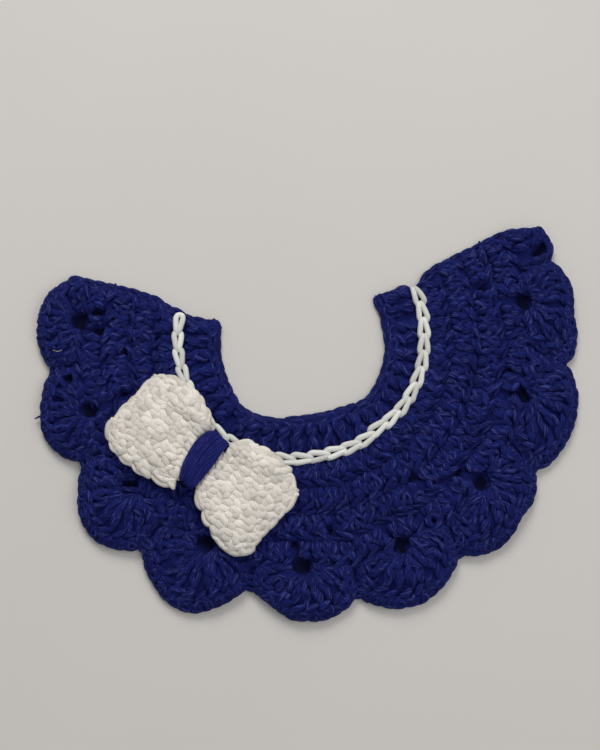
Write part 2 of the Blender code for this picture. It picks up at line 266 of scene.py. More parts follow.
def outer_radius(angle, low=82.0, high=102.0):
    """Radius of the collar's outer edge at this angle, read from the solids."""
    radii = np.arange(low, high, SEARCH)
    held = collar.inside(polar(radii, angle))
    return last_held(radii, held) if held.any() else NO_EDGE


def base_radius(angle):
    """Radius of the line where the shells meet the yoke."""
    nearest = np.min(np.abs(np.subtract.outer(np.atleast_1d(angle), HOLE_ANGLES)), axis=1)
    return HOLE_CIRCLE / np.cos(np.radians(np.minimum(nearest, HALF_SHELL)))


GAP_PLACES = [(polar(radius, angle), size) for angle, radius, size in EYELETS]
GAP_PLACES += [(polar(HOLE_CIRCLE, angle), SHELL_HOLE) for angle in HOLE_ANGLES]
GAP_PLACES += [(polar(radius, angle), size) for angle, radius, size in TIP_HOLE]


def open_gaps(places):
    """Bends each strand out of the shells' holes and the eyelets, to the side it lies on."""
    for middle, size in GAP_PLACES:
        away = places - middle
        distance = np.linalg.norm(away, axis=-1)
        nearest = np.take_along_axis(away, np.argmin(distance, axis=1)[:, None, None], axis=1)
        aside = nearest / np.maximum(np.linalg.norm(nearest, axis=-1, keepdims=True), 0.05)
        push = size * np.exp(-((distance / (1.5 + 0.5 * size)) ** 2))
        places = places + aside * push[..., None]
    return places


# Strands

def jitter(*shape):
    return rng.uniform(-1.0, 1.0, shape)


def piece_of(mesh, tones, material):
    """The mesh as a piece of the part, with a tone for each of its points: a random tone
    for strands, and for the cloths a low tone that paints shade where they are thin.
    """
    shade = mesh.attributes.new("tone", "FLOAT", "POINT")
    shade.data.foreach_set("value", tones.astype(np.float32))
    mesh.shade_smooth()
    mesh.materials.append(material)
    piece = bpy.data.objects.new(mesh.name, mesh)
    bpy.context.scene.collection.objects.link(piece)
    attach(piece, "root")
    return piece


class Yarn:
    """Gathers strands and makes one mesh of them, with each strand's length and turn in
    a UV map and its shade in an attribute."""

    def __init__(self):
        self.points, self.faces, self.uvs, self.tones = [], [], [], []
        self.count = 0

    def add(self, paths, radius, sides=6, closed=False, up=(0, 0, 1), flat=1.0):
        """Sweeps a ring along each path. Paths are (strands, points, 3), in millimetres.
        Flat is how high a strand is for its width."""
        paths = np.array(paths, float)
        strands, steps = paths.shape[:2]
        radius = np.broadcast_to(radius, (strands, steps))
        paths[..., 2] = np.maximum(paths[..., 2], radius)
        if closed:
            tangent = np.roll(paths, -1, 1) - np.roll(paths, 1, 1)
        else:
            tangent = np.gradient(paths, axis=1)
        tangent /= np.maximum(np.linalg.norm(tangent, axis=-1, keepdims=True), 1e-9)
        side = np.cross(tangent, up)
        side /= np.maximum(np.linalg.norm(side, axis=-1, keepdims=True), 1e-6)
        normal = np.cross(side, tangent)
        turn = 2 * np.pi * np.arange(sides) / sides
        ring = side[:, :, None] * np.cos(turn)[:, None]
        ring = ring + flat * normal[:, :, None] * np.sin(turn)[:, None]
        points = paths[:, :, None] + radius[:, :, None, None] * ring
        step = np.linalg.norm(np.diff(paths, axis=1), axis=-1)
        length = np.concatenate([np.zeros((strands, 1)), np.cumsum(step, 1)], 1)
        tone = rng.uniform(0, 1, strands)
        spans = steps if closed else steps - 1
        n, i, j = np.meshgrid(np.arange(strands), np.arange(spans), np.arange(sides), indexing="ij")
        n, i, j = n.ravel(), i.ravel(), j.ravel()
        near, far = i, (i + 1) % steps
        left, right = j, (j + 1) % sides
        first = self.count

        corners = ((near, left), (far, left), (far, right), (near, right))
        quads = np.stack([first + (n * steps + row) * sides + column for row, column in corners], 1)
        far_length = length[n, far] + np.where(far == 0, step[n, -1] + length[n, -1], 0) * (far < near)
        shift = rng.uniform(0, 40, strands)[n]
        u = np.stack([length[n, near], far_length, far_length, length[n, near]], 1) + shift[:, None]
        v = np.stack([j, j, j + 1, j + 1], 1) / sides
        self.faces.append(quads)
        self.uvs.append(np.stack([u, v], -1).reshape(-1, 2))
        if not closed:
            base = first + np.arange(strands)[:, None] * steps * sides
            start_cap = base + np.arange(sides)
            end_cap = (base + (steps - 1) * sides + np.arange(sides))[:, ::-1]
            for cap in (start_cap, end_cap):
                self.faces.append(cap)
                self.uvs.append(np.zeros((cap.size, 2)))
        self.points.append(points.reshape(-1, 3))
        self.tones.append(np.repeat(tone, steps * sides))
        self.count += strands * steps * sides

    def make(self, name, material):
        points = np.concatenate(self.points) * MM
        loops = np.concatenate([face.ravel() for face in self.faces])
        sizes = np.concatenate([np.full(len(face), face.shape[1]) for face in self.faces])
        mesh = bpy.data.meshes.new(name)
        mesh.vertices.add(len(points))
        mesh.vertices.foreach_set("co", points.ravel())
        mesh.loops.add(len(loops))
        mesh.loops.foreach_set("vertex_index", loops.astype(np.int32))
        mesh.polygons.add(len(sizes))
        starts = np.concatenate([[0], np.cumsum(sizes)[:-1]])
        mesh.polygons.foreach_set("loop_start", starts.astype(np.int32))
        mesh.update(calc_edges=True)
        layer = mesh.uv_layers.new(name="yarn")
        layer.data.foreach_set("uv", np.concatenate(self.uvs).ravel())
        return piece_of(mesh, np.concatenate(self.tones), material)


def tapered(radius, steps, sharp=8, least=0.45):
    """A strand's radius along its length: it thins where it dives into the cloth."""
    t = np.linspace(-1, 1, steps)
    return radius * (1 - (1 - least) * np.abs(t) ** sharp)


class Face:
    """One side of a fabric: where strands lie, by height over a relief."""

    def __init__(self, relief, upward=True, sink=0.75, gaps=True):
        self.relief, self.upward, self.sink, self.gaps = relief, upward, sink, gaps

    def lay(self, places, height):
        """Points at these places, height above the face's middle line of strands."""
        if self.gaps:
            places = open_gaps(places)
        if self.upward:
            level = self.relief.read(self.relief.top, places) - self.sink + height
        else:
            level = self.relief.read(self.relief.under, places) + 1.0 - UNDERSIDE_DEPTH * height
        level = np.maximum(level, LOWEST)
        return np.concatenate([places, level[..., None]], axis=-1)


def turned(directions, degrees, spread=7.0):
    """Directions turned by some degrees, each with a little of its own."""
    turn = np.radians(degrees + spread * jitter(len(directions)))
    x, y = directions[:, 0], directions[:, 1]
    return np.stack([x * np.cos(turn) - y * np.sin(turn), x * np.sin(turn) + y * np.cos(turn)], axis=-1)


def plump(yarn, face, middles, directions, length, strand, height, steps=9, sides=7, bend=0.25,
          dive=1.15, flat=1.0):
    """Short full strands, like grains: where a loop of yarn comes up and dives again.
    None starts inside a hole."""
    count = len(middles)
    length, strand = (np.broadcast_to(value, count)[:, None] for value in (length, strand))
    height = np.broadcast_to(height, (count, 1))
    if face.gaps:
        apart = [np.linalg.norm(middles - gap, axis=1) > 0.75 * size for gap, size in GAP_PLACES]
        clear = np.all(apart, axis=0)
        middles, directions = middles[clear], directions[clear]
        length, strand, height = length[clear], strand[clear], height[clear]
        count = len(middles)
    t = np.linspace(-1, 1, steps)
    length = length * (1 + 0.10 * jitter(count, 1))
    curve = bend * jitter(count, 1) * (1 - t ** 2)
    places = middles[:, None] + directions[:, None] * (length / 2 * t)[..., None]
    places = places + across(directions)[:, None] * curve[..., None]
    level = height + 0.15 * jitter(count, 1) + 0.3 - dive * np.abs(t) ** 2.6
    radius = strand * (1 + 0.06 * jitter(count, 1))
    yarn.add(face.lay(places, level), radius * (1 - 0.62 * np.abs(t) ** 2.4), sides, flat=flat)


def posts(yarn, face, base, top, foot_width, head_width, strand=STRAND, steps=13, turns=0.9,
          depth=0.5, bars=(0.27, 0.68), sides=6, lean=1.0):
    """Tall stitches: two strands twisted from base to top, and loops wound over them."""
    count = len(base)
    t = np.linspace(0, 1, steps)
    run = top - base
    length = np.linalg.norm(run, axis=1, keepdims=True)
    sideways = across(run / length)
    phase = 0.15 * jitter(count, 1) + 0.25
    width = foot_width[:, None] + (head_width - foot_width)[:, None] * t
    width = width * (1 + 0.08 * jitter(count, 1))
    bulge = 0.45 * jitter(count, 1) * np.sin(np.pi * t)
    for leg in (0, 1):
        turn = 2 * np.pi * (lean * turns * (t - 0.5) + phase + leg / 2)
        offset = width * np.cos(turn) + bulge
        height = depth * np.sin(turn) - 0.6 * np.abs(2 * t - 1) ** 6 + 0.2 * jitter(count, 1)
        height = height - (0.3 if bars else 0.0)
        places = base[:, None] + run[:, None] * t[:, None] + sideways[:, None] * offset[..., None]
        yarn.add(face.lay(places, height), tapered(strand, steps), sides)
    heading = run / length
    for step, part in enumerate(bars):
        where = part + 0.11 * jitter(count)
        middles = base + run * where[:, None] + sideways * (0.75 * jitter(count) * width.mean())[:, None]
        slanted = turned(heading, lean * (24.0 if step % 2 else -20.0), 24.0)
        full = np.clip(0.92 * width[:, steps // 2] + 0.30, 0.85, 1.35)
        reach = np.clip(0.50 * length[:, 0], 3.0, 5.2)
        height = 0.35 + 0.25 * jitter(count, 1)
        plump(yarn, face, middles, slanted, reach, full, height, bend=0.5)


def links(yarn, face, middles, directions, length, width, height, strand=1.0, tilt=0.35):
    """Chain links: closed loops that taper back and dip under the next one's head."""
    count = len(middles)
    turn = 2 * np.pi * np.arange(12) / 12
    width = width * (1 + 0.06 * jitter(count, 1))
    forward = length / 2 * np.cos(turn)[:, None]
    aside = width / 2 * np.sin(turn) * (1 + 0.35 * np.cos(turn))
    places = middles[:, None] + directions[:, None] * forward
    places = places + across(directions)[:, None] * aside[..., None]
    level = height + tilt * np.cos(turn) + 0.12 * jitter(count, 1)
    yarn.add(face.lay(places, level), strand, closed=True)


def along_arc(first, last, count, spread=0.12):
    """Angles of evenly set stitches, each a little off its place."""
    pitch = (last - first) / count
    return first + pitch * (np.arange(count) + 0.5 + spread * jitter(count))


# The collar's stitches

BAND_STITCHES = 26
ROW_STITCHES = (39, 39, 39, 52)
FAN_POSTS = 10
TIP_POSTS = (377.9, 379.4, 383.3, 385.8)
TIP_CORNER = (85.4, 40.6)  # from the neck's middle to the right corner's link
YOKE_INNER = 43.7  # radius where the yoke starts, and its depth
YOKE_DEPTH = 37.0
GAP_MARGIN = 1.4  # how clear of a gap the strands between posts stay
TAIL_SHELL = 1  # which shell, counted from 0, the tail of yarn stands out of
SHELL_LINK = 4.6  # length along the line of a shell's ridge and edging links
EDGING_LINK = 3.9


def band_rows(yarn, face, detail):
    """The foundation chain along the neck and the first row's posts."""
    samples = np.linspace(168, 388, 60)
    inner = np.array([edge_radius(angle) for angle in samples])
    first, last = ends(36.0)
    angles = along_arc(first + 1.8, last - 1.8, BAND_STITCHES)
    edge = np.interp(angles, samples, inner)
    base = polar(edge + 3.5, angles)
    head = polar(chain_radius(angles) - 1.3, angles + 1.2 + 0.6 * jitter(len(angles)))
    wide = np.full(len(angles), 1.3)
    posts(yarn, face, base, head, wide, 1.12 * wide, strand=1.3, depth=0.6, **detail)
    for offset, height in ((2.0, -0.9), (3.1, -0.1)):
        spots = along_arc(first + 2.6, last - 2.6, BAND_STITCHES + 3, 0.1)
        middles = polar(np.interp(spots, samples, inner) + offset, spots)
        links(yarn, face, middles, tangents(spots), 6.6, 2.1, height)


def ridge(yarn, face, middles, directions, outward, pitch, slant):
    """The row's upper loops: slanted grains over a lower line of them."""
    lower = turned(directions, 0.5 * slant)
    plump(yarn, face, middles + 0.7 * outward, lower, 1.45 * pitch, 1.0, -0.35)
    upper = turned(directions, slant)
    plump(yarn, face, middles - 0.6 * outward, upper, 1.25 * pitch, 1.12, 0.35)


def clear_of_gaps(low, high):
    """Which straight runs from low to high pass no hole or gap closely."""
    parts = np.linspace(0, 1, 9)[:, None, None]
    line = low + (high - low) * parts
    apart = [np.linalg.norm(line - gap, axis=2).min(axis=0) - size for gap, size in GAP_PLACES]
    return np.min(apart, axis=0) > GAP_MARGIN


def yoke_row(yarn, face, row, detail):
    """One of the yoke's rows: posts set into the row below, and its ridge of links."""
    rows = len(ROW_STITCHES)
    count = ROW_STITCHES[row]

    def row_radius(angle, level):
        inner = chain_radius(angle)
        return inner + (base_radius(angle) - inner) * level / rows

    start, stop = ends(YOKE_INNER + YOKE_DEPTH * (row + 0.5) / rows)
    angles = along_arc(start + 1.2, stop - 1.2, count)
    before = ROW_STITCHES[row - 1] if row else BAND_STITCHES
    set_in = (np.floor(np.arange(count) * before / count) + 0.5) / before
    start_in, stop_in = ends(YOKE_INNER + YOKE_DEPTH * max(row, 0.2) / rows)
    foot_angles = start_in + 1.0 + (stop_in - start_in - 2.0) * set_in
    foot_angles = 0.55 * foot_angles + 0.45 * angles
    base = polar(row_radius(foot_angles, row + 0.10) + 0.4 * jitter(count), foot_angles)
    head = polar(row_radius(angles, row + 0.86), angles)
    pitch = np.radians((stop - start) / count) * row_radius(angles, row + 0.5)
    lean = 1.0 if row % 2 else -1.0
    posts(yarn, face, base, head, 0.20 * pitch, 0.25 * pitch, lean=lean, **detail)
    low, high = (base[1:] + base[:-1]) / 2, (head[1:] + head[:-1]) / 2
    clear = clear_of_gaps(low, high)
    wide = pitch[1:][clear]
    plain = {**detail, "bars": ()}
    posts(yarn, face, low[clear], high[clear], 0.15 * wide, 0.18 * wide, lean=-lean, depth=0.25, **plain)
    spots = along_arc(start + 0.8, stop - 0.8, count, 0.08)
    middles = polar(row_radius(spots, row + 0.93) + 0.25 * jitter(count), spots)
    ridge(yarn, face, middles, tangents(spots), toward(spots), pitch, 34 * lean)


def set_evenly(line, pitch):
    """Places set evenly along a line, each a little off its own, and the directions there."""
    far = lengths(line)
    count = round(far[-1] / pitch)
    at = (np.arange(count) + 0.5 + 0.1 * jitter(count)) / count * far[-1]
    return [np.stack([np.interp(at, far, values[:, axis]) for axis in (0, 1)], axis=-1)
            for values in (line, headings(line))]


def fan(yarn, face, index, detail, rim=True):
    """One shell: posts spread round its hole, their ridge of links, and the rim row that
    curls down to the ground."""
    middle_angle = HOLE_ANGLES[index]
    hole = polar(HOLE_CIRCLE, middle_angle)
    owner = NAVY_NODES.index(f"shell_{index + 1:02d}")
    turns = np.linspace(-84, 84, FAN_POSTS) + 2.5 * jitter(FAN_POSTS)

    def spot(turn, part, away=0.0):
        reach = np.interp(turn, reach_turns, reaches)
        return hole + toward(middle_angle + turn) * (reach * part + away)[..., None]

    reach_turns = np.linspace(-88, 88, 45)
    reaches = []
    for turn in reach_turns:
        out = toward(middle_angle + turn)
        distance = shell_reach(hole, out, owner)
        shift = rim_shift(angle_of(hole + out * distance))
        reaches.append(distance + shift * math.cos(math.radians(turn)))
    reaches = np.convolve(np.pad(reaches, 1, mode="edge"), [0.25, 0.5, 0.25], mode="valid")

    base = spot(turns, 0.0, 1.6)
    head = spot(turns + 2.0 * jitter(FAN_POSTS), 0.74)
    spread = np.radians(168 / FAN_POSTS) * np.interp(turns, reach_turns, reaches) * 0.74
    detail = {"bars": (0.34, 0.60, 0.84), **detail}
    wide = np.full(FAN_POSTS, 0.42)
    posts(yarn, face, base, head, wide, 0.27 * spread, turns=1.2, steps=15, **detail)
    curve = spot(np.linspace(-89, 89, 90), 0.76)
    middles, heading = set_evenly(curve, SHELL_LINK)
    ridge(yarn, face, middles, heading, -across(heading), SHELL_LINK, 26)
    if not rim:
        return
    count = round(lengths(curve)[-1] * 1.25 / 3.3)
    rim_turns = np.linspace(-82, 82, count) + 1.2 * jitter(count)
    low, high = spot(rim_turns, 0.79), spot(rim_turns + 3, 0.92)
    posts(yarn, face, low, high, np.full(count, 0.8), np.full(count, 0.9), strand=1.0, steps=8,
          turns=0.5, depth=0.3, bars=())
    middles, heading = set_evenly(spot(np.linspace(-86, 86, 90), 1.0, -2.7), EDGING_LINK)
    links(yarn, face, middles, heading, 5.4, 2.0, 0.0, strand=0.98, tilt=0.4)


def angle_of(place):
    """The angle of a place, counted on past 360 at the collar's right end."""
    x, y = place - NECK
    angle = math.degrees(math.atan2(y, x)) % 360.0
    return angle + (360.0 if angle < 120 else 0.0)


def tip_fan(yarn, face, detail):
    """The small end shell: short posts from the yoke to its own hole and edge."""
    angles = np.array(TIP_POSTS) + 0.2 * jitter(len(TIP_POSTS))
    base = polar(83.2, angles)
    outer = np.array([outer_radius(angle) for angle in angles])
    head = polar(outer - 3.2, angles)
    wide = np.full(len(angles), 0.8)
    posts(yarn, face, base, head, wide, 1.1 * wide, **detail)
    trim = np.linspace(378.4, 384.4, 4)
    radius = np.array([outer_radius(angle) for angle in trim])
    path = polar(radius - 1.8, trim)
    heading = headings(path)
    links(yarn, face, path, heading, 5.4, 1.7, 0.1, strand=0.92, tilt=0.4)
    kept = np.abs(trim - TIP_HOLE[1][0]) > 1.0
    second = polar(radius - 3.6, trim)[kept]
    links(yarn, face, second, heading[kept], 5.4, 2.0, 0.3, strand=0.98, tilt=0.4)
    corner = NECK + np.array([TIP_CORNER])
    links(yarn, face, corner, np.array([[1.0, 0.0]]), 5.6, 2.0, 0.0)


def yarn_end(yarn):
    """A short tail of yarn that stands out from the second shell's edge."""
    t = np.linspace(0, 1, 7)
    x, y = NECK[0] - 92.6 - 3.3 * t, NECK[1] - 27.9 - t ** 2
    path = np.stack([x, y, 2.4 - 0.9 * t], axis=-1)
    yarn.add(path[None], 0.55 * (1 - 0.6 * t))


def notch_links(yarn, face):
    """A link between each two shells, where their edging rows meet."""
    angles = np.array(NOTCH_ANGLES)
    radius = np.array([outer_radius(angle) for angle in angles])
    for inward, height in ((1.7, -0.3), (3.6, 0.3)):
        middles = polar(radius - inward, angles)
        links(yarn, face, middles, tangents(angles), 5.6, 2.0, height, tilt=0.3)


def end_edges(yarn, face):
    """Turning chains: links up both ends of the rows."""
    for side, stop in ((0, 88.0), (1, 93.0)):
        radii = np.arange(33.6, stop, 4.3)
        angles = np.array([ends(radius)[side] for radius in radii])
        inward = 1.0 if side == 0 else -1.0
        inset = np.interp(radii, (43.0, 46.0, 80.0, 90.0), (2.0, 1.2, 1.2, 1.2 if side == 0 else 2.6))
        path = polar(radii, angles + inward * np.degrees(inset / radii))
        links(yarn, face, path, headings(path), 5.6, 2.0, -0.4)


# The white chain, the bow and its wrap

CHAIN_LINKS = 27
CHAIN_ENDS = (169.9, 385.3)
CHAIN_REACH = 7.6  # length of one link's legs
STRAY_FIBRE = (-88.0, -4.6)  # from the neck's middle
CHAIN_SWAY = (  # angle, how much farther out than its solid a link lies
    (168, 0.4), (173, 0.8), (180, 0.7), (187, 0.5), (194, 0.0), (210, 0.6), (222, 1.2), (231, 1.7),
    (245, 0.8), (262, 0.2), (271, -0.3), (282, -0.5), (291, -0.3), (301, 0.0), (311, -0.6),
    (318, -0.2), (324, 0.4), (340, 0.3), (351, 0.2), (361, -0.4), (371, 0.0), (386, 0.1),
)


def surface_chain(yarn):
    """Smooth links round the neck: two full legs each, parting from a point that comes up
    between the legs of the link before it, on the side of the collar's right end."""
    face = Face(collar, sink=0.0, gaps=False)
    count = CHAIN_LINKS
    first, last = CHAIN_ENDS
    angles = first + (last - first) / count * (np.arange(count) + 0.5)
    t = np.linspace(0, 1, 18)
    sway = np.interp(angles, *zip(*CHAIN_SWAY))
    narrow = np.interp(angles, (196.0, 210.0), (0.86, 1.0))[:, None]
    middles = polar(chain_radius(angles) + sway + 0.15 * jitter(count), angles)
    heading = -tangents(angles)
    for side in (-1, 1):
        aside = 0.42 + 1.40 * t ** 0.85 - 0.9 * np.clip((t - 0.70) / 0.30, 0, 1) ** 2
        aside = side * aside * narrow * (1 + 0.06 * jitter(count, 1))
        level = 0.3 + 1.05 * np.clip(t / 0.2, 0, 1) ** 0.7 - 0.75 * t
        level = level - 1.1 * np.clip((t - 0.8) / 0.2, 0, 1) ** 2 + 0.08 * jitter(count, 1)
        places = middles[:, None] + heading[:, None] * ((t - 0.46) * CHAIN_REACH)[:, None]
        places = places + across(heading)[:, None] * aside[..., None]
        full = 0.68 + 0.36 * np.sin(np.pi * np.clip(0.05 + 0.75 * t, 0, 1)) ** 0.8
        yarn.add(face.lay(places, level), full * np.ones((count, 1)), 8)
    turn = np.linspace(-0.15, 1.15, 12)[:, None] * np.pi
    bend = across(heading[0]) * np.cos(turn) + heading[0] * np.sin(turn)
    close = middles[0] + heading[0] * 2.9 + 1.15 * bend
    yarn.add(face.lay(close[None], np.full((1, 12), 0.5)), tapered(1.05, 12, 4, 0.6), 8)
    stray_fibre(yarn, face)


def stray_fibre(yarn, face):
    """One pale fibre that lies loose on the first shell."""
    bend = np.linspace(0, np.pi, 9)
    fibre = NECK + STRAY_FIBRE + np.stack([-1.6 * np.cos(bend), -0.55 * np.sin(bend)], axis=1)
    yarn.add(face.lay(fibre[None], np.full((1, 9), 1.2)), 0.085, 4)


def bow_width(along, waist=False):
    """The bow's two sides here. Stitches beside the waist keep the wings' width."""
    places, low, high = zip(*BOW_EDGES)
    if not waist:
        along = np.where(along < 0, np.minimum(along, -6.8), np.maximum(along, 5.3))
    return np.interp(along, places, low), np.interp(along, places, high)


def on_bow(along, part, inset=0.0, waist=False):
    """Places on the bow: how far along it, and how far across from -1 to 1."""
    along, part = np.broadcast_arrays(np.asarray(along, float), np.asarray(part, float))
    low, high = bow_width(along, waist)
    side = (low + high) / 2 + np.maximum((high - low) / 2 - inset, 1.0) * part
    places, leans = zip(*BOW_LEANS)
    lean = np.interp(along, places, leans) * np.minimum(side, 3.0)
    return BOW_MIDDLE + BOW_AXIS * (along + lean)[..., None] + BOW_ACROSS * side[..., None]


BOW_STITCHES = 8
BOW_ROW = 3.45
WING_ROWS = 8
WING_CORNER = 23.0  # from here on, links run round a wing's far end
END_LINK = 4.2


def wing(yarn, face, way, detail):
    """One wing: rows of single crochet across it, drawn together at the waist."""
    steps, sides = detail
    count = BOW_STITCHES
    first = 5.7 if way < 0 else 4.2
    axis = np.tile(way * BOW_AXIS, (count, 1))
    look = {"steps": steps, "sides": sides, "dive": 0.6, "flat": 0.65}
    for row in range(WING_ROWS):
        middle = first + BOW_ROW * (row + 0.5)
        part = (np.arange(count) + 0.5 + 0.20 * jitter(count)) / count * 2 - 1
        part = part + (0.5 / count if row % 2 else -0.2 / count)
        low, high = bow_width(way * middle)
        pitch = (high - low) / count
        slant = 14 if row % 2 else -14
        for leg in (-1, 1):
            along = way * (middle + 0.7 * jitter(count))
            places = on_bow(along, np.clip(part + leg * 0.5 / count, -0.97, 0.97), 1.1)
            leaning = turned(axis, leg * 19 * way + slant, 24.0)
            plump(yarn, face, places, leaning, BOW_ROW + 1.9, 0.40 * pitch, 0.1, **look)
        along = way * (middle + 0.5 * BOW_ROW + 0.3 * jitter(count))
        part = np.clip(part + 0.4 * jitter(count) / count, -0.95, 0.95)
        height = 0.45 - 0.5 * (row % 2)
        leaning = turned(across(axis), slant, 12.0)
        plump(yarn, face, on_bow(along, part, 1.1), leaning, pitch, 0.31 * pitch, height, **look)


def wing_edges(yarn, face, way):
    """Loops where the rows turn, along a wing's two sides and round its far end."""
    t = np.linspace(0, 1, 12)
    count = 4
    first, last = (6.5, 30.2) if way < 0 else (4.8, 29.4)
    loop = (last - first) / count
    for side in (-1, 1):
        starts = first + loop * np.arange(count) + 0.4 * jitter(count)
        along = starts[:, None] + loop * t
        bulge = 2.0 * np.sin(np.pi * t) ** 0.65 - 1.6
        for lift, inward in ((-0.1, 0.0), (-1.1, 0.3), (0.25, 1.5), (0.1, 2.9)):
            low, high = bow_width(way * along)
            reach = 1 + (bulge - inward - 0.7) / ((high - low) / 2)
            places = on_bow(way * along, side * reach)
            height = lift - 0.8 * (2 * t - 1) ** 8 + 0.12 * jitter(count, 1)
            yarn.add(face.lay(places, height), tapered(1.15, 12, 3, 0.6), 7)
    far = sorted(way * along for along, _, _ in BOW_EDGES if way * along >= WING_CORNER)
    along = 0.957 * way * np.array(far + far[::-1])
    middles, _ = set_evenly(on_bow(along, np.repeat((-1.0, 1.0), len(far)), 1.5), END_LINK)
    heading = headings(middles)
    middles = middles + 0.5 * jitter(len(middles), 1) * across(heading)
    for lift, inward in ((0.1, 0.0), (-0.9, 0.5)):
        places = middles - way * inward * BOW_AXIS
        links(yarn, face, places, heading, 6.0, 2.2, lift, strand=1.1, tilt=0.3)


def wrap_threads(yarn):
    """Thread wound round the waist: rings side by side, in two uneven layers."""
    turn = 2 * np.pi * np.arange(44) / 44
    level = bow_relief.read(bow_relief.top, BOW_MIDDLE) - 2.0
    up, out = np.cos(turn), np.sin(turn)
    places_up, centres, halves = zip(*WRAP_PATH)
    for count, stand_off in ((15, 0.75), (20, 1.15)):
        wide = np.linspace(-1, 1, count) + 0.04 * jitter(count)
        stand = stand_off + 0.10 * jitter(count, 1)
        rise = (9.0 + stand) * np.sign(up) * np.abs(up) ** 0.62
        spread = np.interp(rise, places_up, halves) - 0.4
        wander = 0.15 * np.sin(turn * 2 + 6 * jitter(count, 1))
        along = np.interp(rise, places_up, centres) + wide[:, None] * spread + wander
        places = BOW_MIDDLE + BOW_AXIS * along[..., None] + BOW_ACROSS * rise[..., None]
        height = level + (2.0 + stand) * np.sign(out) * np.abs(out) ** 0.8
        height = height + 0.5 * (0.4 - wide[:, None] ** 2) * (out > 0) * out
        rings = np.concatenate([places, height[..., None]], axis=-1)
        yarn.add(rings, 0.44, closed=True, up=(*BOW_AXIS, 0))


def bow_cloth():
    """The thin closed cloth inside the bow's stitches."""
    columns, rows = 44, 14
    first, last = -32.0, 31.0

    def point(column, row, is_top):
        along = first + (last - first) * column / columns
        part = -math.cos(math.pi * row / rows)
        place = on_bow(along, part, 2.0, waist=True)
        low = bow_relief.read(bow_relief.under, place) + 1.0
        high = max(low + 0.3, bow_relief.read(bow_relief.top, place) - 0.75)
        return (*place, high if is_top else low)

    return slab("bow_cloth", columns, rows, point, warm_white)


def build_bow():
    front = Face(bow_relief, sink=1.0, gaps=False)
    back = Face(bow_relief, upward=False, gaps=False)
    fine, coarse = (9, 7), (6, 5)
    pieces = [
        ("left_wing_stitches", (wing, front, -1, fine), (wing_edges, front, -1)),
        ("right_wing_stitches", (wing, front, 1, fine), (wing_edges, front, 1)),
        ("bow_underside_stitches", (wing, back, -1, coarse), (wing, back, 1, coarse)),
    ]
    return [worked(name, warm_white, "warm_white_cotton", *steps) for name, *steps in pieces]


def worked(name, material, slot, *steps):
    """One piece from the strands that these steps add, each a function and its values."""
    yarn = Yarn()
    for step, *values in steps:
        step(yarn, *values)
    return yarn.make(name, material)


def build_collar():
    fine = {}
    front = Face(collar)
    pieces = [("neck_band_stitches", (band_rows, front, fine))]
    for row in range(len(ROW_STITCHES)):
        pieces.append((f"yoke_row_{row + 1}_stitches", (yoke_row, front, row, fine)))
    for index in range(len(HOLE_ANGLES)):
        tail = [(yarn_end,)] if index == TAIL_SHELL else []
        pieces.append((f"shell_{index + 1:02d}_stitches", (fan, front, index, fine), *tail))
    pieces.append(("shell_10_stitches", (tip_fan, front, fine)))
    pieces.append(("turning_chains", (end_edges, front), (notch_links, front)))
    return [worked(name, navy, "navy_cotton", *steps) for name, *steps in pieces]


def build_back():
    """The same stitches on the underside, flat where they rest."""
    coarse = {"sides": 5, "bars": ()}
    back = Face(collar, upward=False)
    steps = [(band_rows, back, coarse)]
    steps += [(yoke_row, back, row, coarse) for row in range(len(ROW_STITCHES))]
    steps += [(fan, back, index, coarse, False) for index in range(len(HOLE_ANGLES))]
    steps.append((tip_fan, back, coarse))
    return worked("underside_stitches", navy, "navy_cotton", *steps)


# Shading

YARN_INPUTS = (  # sockets of the yarn's group, and their kinds
    ("Place", "Vector"), ("Tone", "Float"), ("Shade", "Color"), ("Body", "Color"),
    ("Highlight colour", "Color"), ("Plies", "Float"), ("Turns", "Float"), ("Highlight amount", "Float"),
)
YARN_OUTPUTS = (("Colour", "Color"), ("Height", "Float"), ("Roughness", "Float"))


def node(tree, kind, **settings):
    made = tree.nodes.new(kind)
    for name, value in settings.items():
        setattr(made, name, value)
    return made


def fill(tree, made, values):
    """Sets a node's inputs, each to a value or to another node's output."""
    for name, value in values.items():
        if hasattr(value, "links"):
            tree.links.new(value, made.inputs[name])
        else:
            made.inputs[name].default_value = value
    return made.outputs


def maths(tree, operation, *values):
    made = node(tree, "ShaderNodeMath", operation=operation)
    return fill(tree, made, dict(enumerate(values)))[0]


def mixed(tree, part, first, second, blend="MIX"):
    made = node(tree, "ShaderNodeMix", data_type="RGBA", blend_type=blend)
    return fill(tree, made, {0: part, 6: first, 7: second})[2]


def noise_at(tree, parts, scale, detail):
    """Noise at a place put together from three values."""
    place = fill(tree, node(tree, "ShaderNodeCombineXYZ"), dict(enumerate(parts)))
    made = node(tree, "ShaderNodeTexNoise", noise_dimensions="3D")
    return fill(tree, made, {"Scale": scale, "Detail": detail, "Vector": place[0]})["Fac"]


